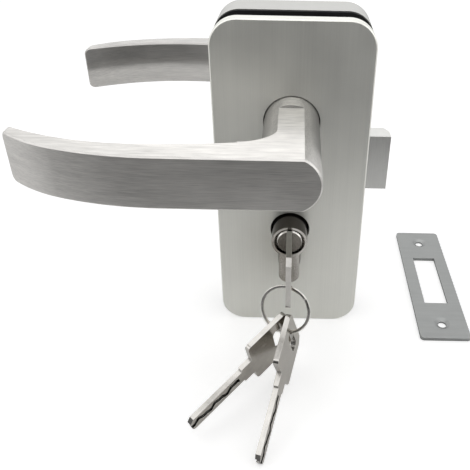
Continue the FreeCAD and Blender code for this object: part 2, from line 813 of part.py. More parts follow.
def key_blank():
    # Along X from the bow's end to the tip, with the bitting on the -Y edge and the thickness in Z.
    half = key_thickness / 2
    step = bow_length + shank_length
    end = step + blade_length
    low = -bow_drop - bow_width / 2
    high = low + bow_width
    bow = rounded_box(0, bow_length, low, high, -half, half, bow_corner, V(0, 0, 1))
    corner = [V(0, high - bow_slant, -half), V(0, high, -half), V(bow_slant, high, -half)]
    bow = bow.cut(Part.Face(Part.makePolygon(corner + corner[:1])).extrude(V(0, 0, key_thickness)))
    shank = box(bow_length - bow_corner, step, -shank_width / 2, shank_width / 2, -half, half)
    edge = blade_width / 2
    outline = [V(bow_length, -edge, -half), V(end - blade_tip, -edge, -half), V(end, -edge + blade_tip, -half),
               V(end, edge - blade_tip / 2, -half), V(end - blade_tip / 2, edge, -half), V(bow_length, edge, -half)]
    blade = Part.Face(Part.makePolygon(outline + outline[:1])).extrude(V(0, 0, key_thickness))
    slot_low = -bow_drop - bow_slot_length / 2
    slot = rounded_box(bow_slot_inset, bow_slot_inset + bow_slot_width, slot_low, slot_low + bow_slot_length,
                       -half, half, bow_slot_width / 2 - slide_gap, V(0, 0, 1))
    grooves = []
    for z0, z1, y in ((half - groove_depth, half, edge / 4), (-half, groove_depth - half, -edge / 4)):
        grooves.append(box(step, end, y - groove_width / 2, y + groove_width / 2, z0, z1))
    cuts = []
    for n, depth in enumerate(bitting_depths):
        x = step + pin_first + pin_pitch * n
        wide = [V(x - depth - pin_radius / 2, -edge, -half), V(x - pin_radius / 2, -edge + depth, -half),
                V(x + pin_radius / 2, -edge + depth, -half), V(x + depth + pin_radius / 2, -edge, -half)]
        cuts.append(Part.Face(Part.makePolygon(wide + wide[:1])).extrude(V(0, 0, key_thickness)))
    return bow.fuse([shank, blade]).cut([slot] + grooves + cuts).removeSplitter()


def placed_key(end, along, across):
    u = V(along).normalize()
    v = (across - u * u.dot(across)).normalize()
    w = u.cross(v)
    key = key_blank()
    key.Placement = FreeCAD.Placement(FreeCAD.Matrix(
        u.x, v.x, w.x, end.x, u.y, v.y, w.y, end.y, u.z, v.z, w.z, end.z, 0, 0, 0, 1))
    return key


def key_in_lock():
    return placed_key(V(0, key_end_y, cylinder_height), V(0, 1, 0), V(0, 0, 1))


def ring_band(groove, start, end):
    axis = ring_side.cross(ring_down).normalize()
    half = ring_wire / 2 - groove
    return tube(ring_radius + half, ring_radius - half, ring_centre + axis * start, ring_centre + axis * end)


def key_ring():
    # Two turns of flat wire side by side, with a fine groove between them.
    near = ring_turn_gap / 2
    far = near + ring_turn_width
    turns = [ring_band(0, -far, -near), ring_band(0, near, far)]
    return ring_band(ring_groove, -far, far).fuse(turns)


def strike_plate():
    half_x = strike_width / 2
    half_y = strike_length / 2
    plate = rounded_box(strike_x - half_x, strike_x + half_x, strike_y - half_y, strike_y + half_y,
                        0, strike_thickness, strike_corner, V(0, 0, 1))
    slot_x0 = strike_x - strike_slot_width / 2
    slot_y0 = strike_y - strike_slot_length / 2
    cuts = [box(slot_x0, slot_x0 + strike_slot_width, slot_y0, slot_y0 + strike_slot_length, 0, strike_thickness)]
    for side in (-0.5, 0.5):
        base = V(strike_x, strike_y + side * strike_hole_spacing, 0)
        cuts.append(Part.makeCylinder(strike_hole_radius, strike_thickness, base))
        cuts.append(Part.makeCone(strike_hole_radius, strike_sink_radius, strike_thickness / 2,
                                  base + V(0, 0, strike_thickness / 2)))
    return plate.cut(cuts)


os.makedirs("parts", exist_ok=True)
front_groove = cam_front - layer_gap - clip_thickness
nodes = {
    "front_plate": front_plate(),
    "front_gasket": gasket(plate_back, glass_front),
    "rear_gasket": gasket(glass_rear, case_front),
    "lock_case": lock_case(),
    "case_cover": case_cover(),
    "cover_screws": cover_screws(),
    "clamp_screws": clamp_screws(),
    "clamp_sleeves": clamp_sleeves(),
    "front_bearing": bearing(bearing_front, plate_back),
    "rear_bearing": bearing(boss_front, bearing_back),
    "front_lever": front_lever(),
    "rear_lever": rear_copy(front_lever()),
    "grub_screws": grub_screws(),
    "spindle": spindle(),
    "follower": follower(),
    "latch_bolt": latch_bolt(),
    "bolt_tail": bolt_tail(),
    "bolt_rivets": bolt_rivets(),
    "latch_spring": latch_spring(),
    "return_cap": return_cap(),
    "return_spring": return_spring(),
    "cylinder_body": cylinder_body(),
    "cylinder_screw": cylinder_screw(),
    "plug_front": plug_front(),
    "rear_plug": rear_plug(),
    "plug_clip": clip(front_groove),
    "rear_plug_clip": clip(cam_back + 2 * layer_gap),
    "cam": cam(),
    "key_pins": key_pins(),
    "driver_pins": driver_pins(),
    "pin_springs": pin_springs(),
    "deadlock_slide": deadlock_slide(),
    "key_in_lock": key_in_lock(),
    "key_ring": key_ring(),
    "key_left": placed_key(left_key_end, left_key_along, left_key_across),
    "key_right": placed_key(right_key_end, right_key_along, right_key_across),
    "strike_plate": strike_plate(),
}
for name, shape in nodes.items():
    shape.exportStep("parts/" + name + ".step")
    print(name, len(shape.Solids), round(shape.Volume, 1), shape.isValid())
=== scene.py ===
import bpy
import bmesh
import json
import math
from mathutils import Matrix, Vector


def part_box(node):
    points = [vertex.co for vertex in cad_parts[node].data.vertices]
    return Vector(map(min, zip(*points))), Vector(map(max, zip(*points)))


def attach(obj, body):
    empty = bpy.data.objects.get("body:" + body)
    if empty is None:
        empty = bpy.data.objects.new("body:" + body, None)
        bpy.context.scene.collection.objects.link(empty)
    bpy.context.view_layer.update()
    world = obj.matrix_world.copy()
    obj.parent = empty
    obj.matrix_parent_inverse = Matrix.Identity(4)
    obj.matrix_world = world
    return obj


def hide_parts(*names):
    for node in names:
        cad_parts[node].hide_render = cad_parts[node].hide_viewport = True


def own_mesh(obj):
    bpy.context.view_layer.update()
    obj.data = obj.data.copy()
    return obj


MM = 0.001
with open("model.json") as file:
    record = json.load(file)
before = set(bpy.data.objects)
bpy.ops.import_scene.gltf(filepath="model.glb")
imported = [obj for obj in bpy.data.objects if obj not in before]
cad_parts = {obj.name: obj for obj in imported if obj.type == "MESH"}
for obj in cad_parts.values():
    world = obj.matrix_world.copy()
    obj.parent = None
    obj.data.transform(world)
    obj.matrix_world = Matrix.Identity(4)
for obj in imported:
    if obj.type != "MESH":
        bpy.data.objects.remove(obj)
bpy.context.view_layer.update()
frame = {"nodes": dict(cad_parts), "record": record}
nodes = frame["nodes"]


# Node helpers for the materials

# The cosine between the rounded and the true normal, where an edge counts in full and not at all.
EDGE_FULL, EDGE_NONE = 0.86, 0.999


def new_material(name):
    material = bpy.data.materials.new(name)
    material.use_nodes = True
    material.node_tree.nodes.clear()
    return material


class Graph:
    def __init__(self, owner):
        self.tree = owner.node_tree

    def add(self, kind, **values):
        node = self.tree.nodes.new("ShaderNode" + kind)
        for key, value in values.items():
            setattr(node, key, value)
        return node

    def link(self, output, target):
        self.tree.links.new(output, target)

    def feed(self, socket, value):
        # The value is a number, a tuple or another node's output.
        if isinstance(value, (int, float)):
            socket.default_value = value
        elif isinstance(value, tuple):
            socket.default_value = value + (1.0,) * (len(socket.default_value) - len(value))
        else:
            self.link(value, socket)

    def noise(self, vector, detail, roughness=0.55):
        node = self.add("TexNoise")
        node.inputs["Scale"].default_value = 1.0
        node.inputs["Detail"].default_value = detail
        node.inputs["Roughness"].default_value = roughness
        self.link(vector, node.inputs["Vector"])
        return node.outputs["Fac"]

    def mapped(self, scale, offset=(0, 0, 0)):
        place = self.add("TexCoord")
        mapping = self.add("Mapping")
        mapping.inputs["Scale"].default_value = scale
        mapping.inputs["Location"].default_value = offset
        self.link(place.outputs["Object"], mapping.inputs["Vector"])
        return mapping.outputs["Vector"]

    def spread(self, value, low, high, from_low=0.3, from_high=0.7):
        node = self.add("MapRange")
        node.inputs["From Min"].default_value = from_low
        node.inputs["From Max"].default_value = from_high
        node.inputs["To Min"].default_value = low
        node.inputs["To Max"].default_value = high
        self.link(value, node.inputs["Value"])
        return node.outputs["Result"]

    def maths(self, operation, a, b=0.0):
        node = self.add("Math", operation=operation)
        self.feed(node.inputs[0], a)
        self.feed(node.inputs[1], b)
        return node.outputs[0]

    def vectors(self, operation, a, b=None):
        node = self.add("VectorMath", operation=operation)
        self.feed(node.inputs[0], a)
        if b is not None:
            self.feed(node.inputs["Scale" if operation == "SCALE" else 1], b)
        return node.outputs["Value" if operation == "DOT_PRODUCT" else "Vector"]

    def mix(self, factor, a, b):
        node = self.add("Mix", data_type="RGBA")
        for place, value in ((0, factor), (6, a), (7, b)):
            self.feed(node.inputs[place], value)
        return node.outputs[2]

    def split(self, output):
        parts = self.add("SeparateXYZ")
        self.link(self.add("TexCoord").outputs[output], parts.inputs[0])
        return parts.outputs

    def facing(self, side):
        # One on the faces that look along an axis, or that a named attribute marks.
        if isinstance(side, str):
            return self.add("Attribute", attribute_name=side).outputs["Fac"]
        return self.spread(self.maths("ABSOLUTE", self.split("Normal")[side]), 0.0, 1.0, 0.8, 0.95)

    def rounded(self, radius):
        bevel = self.add("Bevel", samples=8)
        bevel.inputs["Radius"].default_value = radius
        return bevel.outputs["Normal"]

    def to_world(self, vector):
        turn = self.add("VectorTransform", vector_type="VECTOR",
                        convert_from="OBJECT", convert_to="WORLD")
        self.feed(turn.inputs[0], vector)
        return turn.outputs[0]

    def leaned(self, normal, vector):
        # The normal turned a little towards a vector of the object's own space.
        return self.vectors("NORMALIZE", self.vectors("ADD", normal, self.to_world(vector)))

    def edge_mask(self, radius):
        # One where the surface turns within the radius, so along edges.
        normal = self.add("NewGeometry").outputs["Normal"]
        turn = self.vectors("DOT_PRODUCT", self.rounded(radius), normal)
        return self.spread(turn, 1.0, 0.0, EDGE_FULL, EDGE_NONE)

    def surface(self, shader, height, strength, depth, normal=None):
        # The shader as the material's surface, with the height as a bump on it.
        bump = self.add("Bump")
        bump.inputs["Strength"].default_value = strength
        bump.inputs["Distance"].default_value = depth
        self.link(height, bump.inputs["Height"])
        if normal is not None:
            self.link(normal, bump.inputs["Normal"])
        self.link(bump.outputs["Normal"], shader.inputs["Normal"])
        self.link(shader.outputs[0], self.add("OutputMaterial").inputs["Surface"])


# Shading of the levers, in metres and cosines of the object's own space

# The inner sides, where y times the normal's y is below zero.
INNER_FULL, INNER_NONE = -0.03, -0.02
# The band on them, from the lower height to the upper one; its upper part gets painted shade.
BAND_LOW, BAND_HIGH = 0.1130, 0.1195
BAND_LEAN_LOW, BAND_LEAN_HIGH, BAND_DIM = -0.26, 0.28, 0.38
# Flats that look up, and how far they lean away from the glass.
FLAT_NONE, FLAT_FULL, FLAT_LEAN = 0.90, 0.97, 0.19
# The necks, by their distance from the middle along y and from the spindle's axis along x.
NECK_NEAR, NECK_FAR = 0.060, 0.068
NECK_HALF, NECK_OUTSIDE = 0.0125, 0.014
# The necks' flanks, which look sideways, and get painted shade.
FLANK_NONE, FLANK_FULL, FLANK_DIM = 0.62, 0.96, 0.6


def lever_lean(g):
    # The levers' inner sides read as rounded, and the flats on their necks lean to the light. The tops of
    # the inner sides and the necks' flanks are painted darker, as shade.
    place, look = g.split("Object"), g.split("Normal")
    inner = g.spread(g.maths("MULTIPLY", place[1], look[1]), 1.0, 0.0, INNER_FULL, INNER_NONE)
    round_off = g.spread(place[2], BAND_LEAN_LOW, BAND_LEAN_HIGH, BAND_LOW, BAND_HIGH)
    dimming = g.maths("MULTIPLY", inner, g.spread(place[2], 0.0, BAND_DIM, BAND_LOW, BAND_HIGH))
    flat = g.spread(look[2], 0.0, FLAT_LEAN, FLAT_NONE, FLAT_FULL)
    near = g.spread(g.maths("ABSOLUTE", place[1]), 1.0, 0.0, NECK_NEAR, NECK_FAR)
    middle = g.spread(g.maths("ABSOLUTE", place[0]), 1.0, 0.0, NECK_HALF, NECK_OUTSIDE)
    sideways = g.spread(g.maths("ABSOLUTE", look[0]), 0.0, FLANK_DIM, FLANK_NONE, FLANK_FULL)
    flank = g.maths("MULTIPLY", g.maths("MULTIPLY", near, middle), sideways)
    total = g.add("CombineXYZ")
    g.link(g.maths("MULTIPLY", flat, g.maths("SIGN", place[1])), total.inputs[1])
    g.link(g.maths("MULTIPLY", inner, round_off), total.inputs[2])
    return total.outputs[0], g.maths("SUBTRACT", 1.0, g.maths("MAXIMUM", dimming, flank))


# Materials

# Noise in the metals: the wide lines are this many times as wide and as long as the fine ones.
LINES_WIDER, LINES_LONGER = 9, 3
# Where the wide lines and the clouds are taken from the noise, so that they don't follow the fine.
LINES_AT, CLOUD_AT, SOFT_CLOUD_AT = (3.1, 1.7, 0.4), (7.3, 2.9, 5.1), (2.2, 6.1, 3.3)
# Painted shade in corners: how far it reaches, and the open share of the sky for all and for none of it.
CORNER_SHADE_REACH, CORNER_SHADE_FULL, CORNER_SHADE_NONE = 1.6 * MM, 0.25, 0.9
# How dark the painted shade in the keys' tracks is.
TRACK_SHADE_TONE = 0.25
METAL_BUMP, SOFT_BUMP = 0.03 * MM, 0.05 * MM
SOFT_CLOUD_SIZE = 8
DUST, DUST_NONE, DUST_FULL = (0.32, 0.31, 0.29), 0.62, 0.72


def brush_scale(grain, times=(1, 1, 1)):
    return tuple(1 / (size * factor * MM) for size, factor in zip(grain, times))


def metal(name, colour, rough, grain, streak, bump, anisotropy=0.0, edge_wear_and_shade=0.35, edge_radius=0.5,
          blotch=0.05, blotch_size=22.0, corner_shade=0.4, metallic=1.0, faces=None, face_colour=None,
          lean=None, sunk=None):
    # Brushed or blasted metal: fine lines in colour, roughness and height, wide soft clouding,
    # and painted shade in corners. grain is the lines' size in mm along x, y and z. The edges are
    # paler with a positive edge factor, as wear and a painted highlight, and darker with a negative
    # one, as painted shade. faces is an axis or an attribute, for the faces that have face_colour, a
    # tone painted for light and shade by the way they look, and sunk is an attribute, for the faces
    # that are darker with painted shade. lean also paints shade on the levers.
    material = new_material(name)
    g = Graph(material)
    lined = len(set(grain)) > 1
    wider = tuple(LINES_LONGER if lined and size == max(grain) else LINES_WIDER for size in grain)
    fine = g.noise(g.mapped(brush_scale(grain)), 5.0, 0.6)
    broad = g.noise(g.mapped(brush_scale(grain, wider), LINES_AT), 2.0)
    cloud = g.noise(g.mapped(brush_scale((blotch_size,) * 3), CLOUD_AT), 3.0)
    lines = g.maths("ADD", g.spread(fine, -streak, streak), g.spread(broad, -streak * 0.5, streak * 0.5))
    tone = g.maths("ADD", g.maths("ADD", lines, g.spread(cloud, -blotch, blotch)), 1.0)
    if lean:
        # The lean also gives painted shade, by which the colour is multiplied.
        bend, dim = lean(g)
        tone = g.maths("MULTIPLY", tone, dim)
    # Painted shade on the faces in the sunk track.
    if sunk:
        tone = g.maths("MULTIPLY", tone, g.spread(g.facing(sunk), 1.0, TRACK_SHADE_TONE, 0.0, 1.0))
    # Painted light and shade: the faces picked by faces get face_colour, lighter than the rest on some
    # materials and darker on others, as the light falls on them.
    base = colour if faces is None else g.mix(g.facing(faces), colour, face_colour)
    value = g.vectors("SCALE", base, tone)
    # Painted highlight and shade on the edges: paler as wear and a painted highlight, darker as painted
    # shade where the factor is below zero.
    edge = g.edge_mask(edge_radius * MM)
    edge_colour = tuple(min(1.0, c * (1 + edge_wear_and_shade)) for c in colour)
    painted = g.mix(edge, value, edge_colour)
    # Painted shade: ambient occlusion darkens the colour in corners and recesses.
    hollow = g.add("AmbientOcclusion", samples=6, only_local=True)
    hollow.inputs["Distance"].default_value = CORNER_SHADE_REACH
    dark = g.spread(hollow.outputs["AO"], 1.0 - corner_shade, 1.0, CORNER_SHADE_FULL, CORNER_SHADE_NONE)
    shader = g.add("BsdfPrincipled")
    shader.inputs["Metallic"].default_value = metallic
    shader.inputs["Anisotropic"].default_value = anisotropy
    g.link(g.vectors("SCALE", painted, dark), shader.inputs["Base Color"])
    rough_lines = g.maths("ADD", g.spread(fine, -0.05, 0.06), g.spread(cloud, rough - 0.04, rough + 0.04))
    smoother = g.spread(edge, 1.0, 0.8, 0.0, 1.0)
    g.link(g.maths("MULTIPLY", rough_lines, smoother), shader.inputs["Roughness"])
    if lined and anisotropy:
        direction = tuple(1.0 if size == max(grain) else 0.0 for size in grain)
        g.link(g.to_world(direction), shader.inputs["Tangent"])
    soft = g.rounded(edge_radius * 0.6 * MM)
    g.surface(shader, fine, bump, METAL_BUMP, g.leaned(soft, bend) if lean else soft)
    return material


def soft_material(name, colour, rough, grain, bump, specks=0.0):
    # Rubber and moulded plastic: a fine grain, clouding and a little pale dust.
    material = new_material(name)
    g = Graph(material)
    fine = g.noise(g.mapped(brush_scale((grain,) * 3)), 4.0)
    cloud = g.noise(g.mapped(brush_scale((SOFT_CLOUD_SIZE,) * 3), SOFT_CLOUD_AT), 3.0)
    value = g.vectors("SCALE", colour, g.spread(cloud, 0.7, 1.35))
    dust = g.spread(fine, 0.0, specks, DUST_NONE, DUST_FULL)
    shader = g.add("BsdfPrincipled")
    g.link(g.mix(dust, value, DUST), shader.inputs["Base Color"])
    g.link(g.spread(fine, rough - 0.08, rough + 0.1), shader.inputs["Roughness"])
    g.surface(shader, fine, bump, SOFT_BUMP)
    return material


METALS = {
    # The plate's edges are painted darker, as shade.
    "satin_plate": dict(colour=(0.84, 0.84, 0.79), rough=0.42, grain=(0.45, 0.45, 60), streak=0.03,
                        bump=0.08, anisotropy=0.3, edge_wear_and_shade=-0.45, edge_radius=0.4, blotch=0.03,
                        blotch_size=30, metallic=0.8),
    "satin_case": dict(colour=(0.52, 0.52, 0.50), rough=0.38, grain=(0.45, 0.45, 60), streak=0.04,
                       bump=0.08, anisotropy=0.3, edge_wear_and_shade=0.4, blotch=0.03, blotch_size=30),
    # The levers' edges are painted darker, as shade, and lever_lean paints shade on their inner sides and
    # necks.
    "satin_lever": dict(colour=(0.70, 0.685, 0.66), rough=0.40, grain=(9, 1.3, 0.28), streak=0.15,
                        bump=0.35, anisotropy=0.4, edge_wear_and_shade=-0.35, edge_radius=0.35, blotch=0.03,
                        blotch_size=18, metallic=0.82, lean=lever_lean),
    "satin_bolt": dict(colour=(0.68, 0.68, 0.66), rough=0.34, grain=(0.3, 0.3, 8), streak=0.05,
                       bump=0.1, anisotropy=0.3, edge_wear_and_shade=0.4, edge_radius=0.4, blotch=0.03,
                       blotch_size=9),
    "satin_strike": dict(colour=(0.31, 0.317, 0.313), rough=0.42, grain=(8, 0.3, 0.3), streak=0.05,
                         bump=0.1, anisotropy=0.3, edge_wear_and_shade=0.4, edge_radius=0.4, blotch=0.04,
                         blotch_size=12),
    "pressed_steel": dict(colour=(0.40, 0.40, 0.40), rough=0.38, grain=(0.5, 0.5, 0.5), streak=0.06,
                          bump=0.1, edge_wear_and_shade=0.3),
    "screw_steel": dict(colour=(0.46, 0.46, 0.45), rough=0.28, grain=(3, 0.2, 0.2), streak=0.06,
                        bump=0.1, edge_radius=0.3),
    "spring_steel": dict(colour=(0.36, 0.36, 0.36), rough=0.25, grain=(0.2, 0.2, 0.2), streak=0.06,
                         bump=0.05, edge_wear_and_shade=0.3, edge_radius=0.15),
    # The barrel's sides are painted near black, as shade reflected from the lever above, and its ends
    # lighter.
    "nickel_cylinder": dict(colour=(0.11, 0.10, 0.09), rough=0.2, grain=(0.2, 6, 0.2), streak=0.05,
                            bump=0.06, anisotropy=0.2, edge_wear_and_shade=0.45, edge_radius=0.15, corner_shade=0.1,
                            faces=1, face_colour=(0.62, 0.60, 0.57)),
    # The plug's front face is painted dark, as shade in its reflection, and its other faces light.
    "nickel_plug": dict(colour=(0.80, 0.78, 0.74), rough=0.24, grain=(0.25, 0.25, 0.25), streak=0.06,
                        bump=0.08, edge_wear_and_shade=0.3, edge_radius=0.1, corner_shade=0.1,
                        faces=1, face_colour=(0.22, 0.205, 0.185)),
    # The keys' broad sides are painted darker than their narrow sides, as shade, and their tracks and
    # corners get strong painted shade.
    "nickel_key": dict(colour=(0.54, 0.525, 0.50), rough=0.2, grain=(0.3, 0.3, 0.3), streak=0.10,
                       bump=0.15, edge_radius=0.25, blotch=0.08, blotch_size=6, corner_shade=0.85,
                       sunk="track_shade", faces="broad_side", face_colour=(0.44, 0.415, 0.375)),
    "ring_steel": dict(colour=(0.88, 0.86, 0.82), rough=0.22, grain=(0.2, 0.2, 0.2), streak=0.05,
                       bump=0.04, edge_wear_and_shade=0.2, edge_radius=0.12),
    "pin_brass": dict(colour=(0.62, 0.46, 0.22), rough=0.25, grain=(0.2, 0.2, 0.2), streak=0.06,
                      bump=0.05, edge_wear_and_shade=0.3, edge_radius=0.2),
}
SOFT = {
    "gasket_rubber": dict(colour=(0.006, 0.006, 0.006), rough=0.62, grain=0.35, bump=0.5, specks=0.12),
    "bearing_plastic": dict(colour=(0.03, 0.03, 0.03), rough=0.45, grain=0.2, bump=0.2),
}
materials = {name: metal(name, **look) for name, look in METALS.items()}
materials.update({name: soft_material(name, **look) for name, look in SOFT.items()})
slots = {part["node"]: part["material_slot"] for part in frame["record"]["subparts"]}
for name, node in nodes.items():
    node.data.materials.clear()
    node.data.materials.append(materials[slots[name]])


# Shapes shared by several pieces

def placed(name, data):
    obj = bpy.data.objects.new(name, data)
    bpy.context.scene.collection.objects.link(obj)
    return obj


def corner_arc(x, y, radius, start, steps=5):
    # A quarter of a circle, turning left from the start angle.
    angles = [start + math.pi / 2 * k / steps for k in range(steps + 1)]
    return [(x + radius * math.cos(a), y + radius * math.sin(a)) for a in angles]


# Wound pieces

WIRE = 0.75 * MM
# Each coil's moving end is drawn back by this, so that it doesn't cut into what presses it.
TOUCH = 0.1 * MM


def swept(name, path, section, slot):
    # A tube whose cross-section, points of (across, up), follows frames of (point, across, up).
    mesh = bpy.data.meshes.new(name)
    count = len(section)
    points = [p + across * s[0] + up * s[1] for p, across, up in path for s in section]
    faces = []
    for i in range(len(path) - 1):
        for k in range(count):
            n = (k + 1) % count
            faces.append((i * count + k, i * count + n, (i + 1) * count + n, (i + 1) * count + k))
    faces.append(tuple(reversed(range(count))))
    faces.append(tuple((len(path) - 1) * count + k for k in range(count)))
    mesh.from_pydata(points, [], faces)
    mesh.validate()
    for polygon in mesh.polygons:
        polygon.use_smooth = len(polygon.vertices) == 4
    mesh.materials.append(materials[slot])
    return placed(name, mesh)


def round_section(radius, count=12):
    angles = [2 * math.pi * k / count for k in range(count)]
    return [(radius * math.cos(a), radius * math.sin(a)) for a in angles]


def coil_spring(name, start, end, outer, turns, side, up, steps=28):
    # Open coils with a closed turn at each end.
    path = []
    length = end - start
    edge = WIRE * 1.02 / length.length
    for i in range(turns * steps + 1):
        turn = i / steps
        share = min(max((turn - 1) / (turns - 2), 0.0), 1.0)
        low = min(turn, 1.0) * edge
        high = max(turn - (turns - 1), 0.0) * edge
        where = edge / 2 + low + share * (1 - 3 * edge) + high
        angle = 2 * math.pi * turn
        out = side * math.cos(angle) + up * math.sin(angle)
        path.append((start + length * where + out * (outer - WIRE / 2), out, length.normalized()))
    return swept(name, path, round_section(WIRE / 2), "spring_steel")


def tube_ends(name, axis):
    # The middles of a plain tube's ends, and its outer radius.
    low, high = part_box(name)
    middle = (low + high) / 2
    start, end = middle.copy(), middle.copy()
    start[axis], end[axis] = low[axis], high[axis]
    outer = (high[(axis + 1) % 3] - low[(axis + 1) % 3]) / 2
    return start, end, outer


X, Y, Z = Vector((1, 0, 0)), Vector((0, 1, 0)), Vector((0, 0, 1))
start, end, outer = tube_ends("latch_spring", 0)
end.x -= TOUCH
latch_coil = coil_spring("latch_coil", start, end, outer, 16, Y, Z)
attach(latch_coil, "lock_body")
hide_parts("latch_spring")
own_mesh(latch_coil)

start, end, outer = tube_ends("return_spring", 2)
start.z += TOUCH
return_coil = coil_spring("return_coil", start, end, outer, 9, X, Y)
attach(return_coil, "lock_body")
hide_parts("return_spring")
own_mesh(return_coil)


# Split ring

RING_RADIUS, RING_GAP, RING_CORNER = 11.1 * MM, 0.70 * MM, 0.22 * MM
WIRE_ACROSS, WIRE_ALONG = 1.46 * MM, 0.58 * MM
# In turns: where the wire starts, where it begins to cross over, and how long that takes.
RING_START, CROSSING, CROSSING_LENGTH = 0.36, 0.93, 0.10
# Steps in a turn, and how many the wire stops short of two full turns.
RING_STEPS, RING_SHORT = 180, 7


def flat_section(across, up, corner):
    points = []
    for quarter, (sx, sy) in enumerate(((1, 1), (-1, 1), (-1, -1), (1, -1))):
        x, y = sx * (across - corner), sy * (up - corner)
        points += corner_arc(x, y, corner, math.pi / 2 * quarter, 3)
    return points


def split_ring(name, centre, side, down):
    # Two turns of flat wire side by side, a little short of full, that cross over between them.
    axis = side.cross(down).normalized()
    path = []
    for i in range(2 * RING_STEPS - RING_SHORT):
        turn = i / RING_STEPS
        angle = 2 * math.pi * (turn + RING_START)
        step = min(max((turn - CROSSING) / CROSSING_LENGTH, 0.0), 1.0)
        offset = RING_GAP * (step * step * (3 - 2 * step) - 0.5)
        out = down * math.cos(angle) + side * math.sin(angle)
        path.append((centre + out * RING_RADIUS + axis * offset, out, axis))
    return swept(name, path, flat_section(WIRE_ACROSS / 2, WIRE_ALONG / 2, RING_CORNER), "ring_steel")


low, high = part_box("key_ring")
ring_centre = (low + high) / 2
ring_side = Vector((0.9525, -0.3044, 0.0)).normalized()
ring_down = Vector((-0.0882, -0.2759, -0.9571)).normalized()
ring = split_ring("split_ring", ring_centre, ring_side, ring_down)
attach(ring, "ring")
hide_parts("key_ring")


# Keys, with a winding milled track where the CAD blades have straight grooves and edge cuts

# All in mm, from the bow's outer end along the key and from the blade's middle across it.
KEY_HALF, KEY_SOFT = 1.2, 0.16
BOW, BOW_LOW, BOW_HIGH, BOW_CORNER, BOW_SLANT = 24.0, -14.8, 11.8, 2.0, 3.0
SHANK_END, SHANK_HALF = 30.2, 5.1
BLADE_END, BLADE_HALF, TIP_LOW, TIP_HIGH = 60.6, 3.6, 2.0, 1.0
SLOT_LEFT, SLOT_RIGHT, SLOT_LOW, SLOT_HIGH, SLOT_FIT = 4.4, 10.2, -9.2, 6.2, 0.98
TRACK_START, TRACK_END = SHANK_END + 2.5, BLADE_END + 1.0
TRACK_HALF, TRACK_DEPTH, TRACK_STEPS = 1.25, 0.85, 60
# Each wave's size, its rate along the key and how many times it takes the phase.
TRACK_WAVES = ((0.75, 0.62, 1), (0.35, 1.37, 2))
FACE_PHASE, KEY_PHASE = 1.9, 1.3


def key_outline():
    near, far = BOW_CORNER, BOW - BOW_CORNER
    points = corner_arc(near, BOW_LOW + near, near, math.pi)
    points += corner_arc(far, BOW_LOW + near, near, -math.pi / 2)
    points += [(BOW, -SHANK_HALF), (SHANK_END, -SHANK_HALF), (SHANK_END, -BLADE_HALF)]
    points += [(BLADE_END - TIP_LOW, -BLADE_HALF), (BLADE_END, -BLADE_HALF + TIP_LOW)]
    points += [(BLADE_END, BLADE_HALF - TIP_HIGH), (BLADE_END - TIP_HIGH, BLADE_HALF)]
    points += [(SHANK_END, BLADE_HALF), (SHANK_END, SHANK_HALF), (BOW, SHANK_HALF)]
    points += corner_arc(far, BOW_HIGH - near, near, 0.0)
    return points + [(BOW_SLANT, BOW_HIGH), (0.0, BOW_HIGH - BOW_SLANT)]


def slot_outline():
    radius = (SLOT_RIGHT - SLOT_LEFT) / 2
    left, right = SLOT_LEFT + radius, SLOT_RIGHT - radius
    low, high = SLOT_LOW + radius, SLOT_HIGH - radius
    points = []
    for x, y, start in ((right, high, 0.0), (left, high, math.pi / 2),
                        (left, low, math.pi), (right, low, -math.pi / 2)):
        points += corner_arc(x, y, radius * SLOT_FIT, start)[:-1]
    return points


def extruded(name, loops, low, high):
    # The first loop is the outline, and the others are holes in it.
    shape = bmesh.new()
    for loop in loops:
        ring_of = [shape.verts.new((x, y, low)) for x, y in loop]
        for k, vert in enumerate(ring_of):
            shape.edges.new((vert, ring_of[(k + 1) % len(ring_of)]))
    bmesh.ops.triangle_fill(shape, use_beauty=True, edges=shape.edges[:])
    raised = bmesh.ops.extrude_face_region(shape, geom=shape.faces[:])["geom"]
    moved = [item for item in raised if isinstance(item, bmesh.types.BMVert)]
    bmesh.ops.translate(shape, verts=moved, vec=(0, 0, high - low))
    bmesh.ops.recalc_face_normals(shape, faces=shape.faces[:])
    mesh = bpy.data.meshes.new(name)
    shape.to_mesh(mesh)
    shape.free()
    return placed(name, mesh)


def track_cutter(face, phase):
    # A winding band, sunk into one face of the blade and open at the tip.
    middle = []
    for k in range(TRACK_STEPS + 1):
        x = TRACK_START + (TRACK_END - TRACK_START) * k / TRACK_STEPS
        middle.append((x, sum(size * math.sin(x * rate + part * phase)
                              for size, rate, part in TRACK_WAVES)))
    loop = [(x, y - TRACK_HALF) for x, y in middle]
    loop += [(x, y + TRACK_HALF) for x, y in reversed(middle)]
    low, high = sorted((face * (KEY_HALF - TRACK_DEPTH), face * (KEY_HALF + 1)))
    return extruded("track", [loop], low, high)


def mark_faces(mesh):
    # The key's material reads which faces are its broad sides and which lie in the track, and paints
    # shade on both. The margins leave out the blade's outer sides and the track's open end.
    broad = mesh.attributes.new("broad_side", "FLOAT", "FACE")
    sunk = mesh.attributes.new("track_shade", "FLOAT", "FACE")
    for polygon in mesh.polygons:
        x, y, z = polygon.center
        inside = (SHANK_END + 2 < x < BLADE_END - 0.2 and abs(y) < BLADE_HALF - 0.4
                  and abs(z) < KEY_HALF - 0.25)
        broad.data[polygon.index].value = 1.0 if abs(polygon.normal.z) > 0.9 else 0.0
        sunk.data[polygon.index].value = 1.0 if inside else 0.0


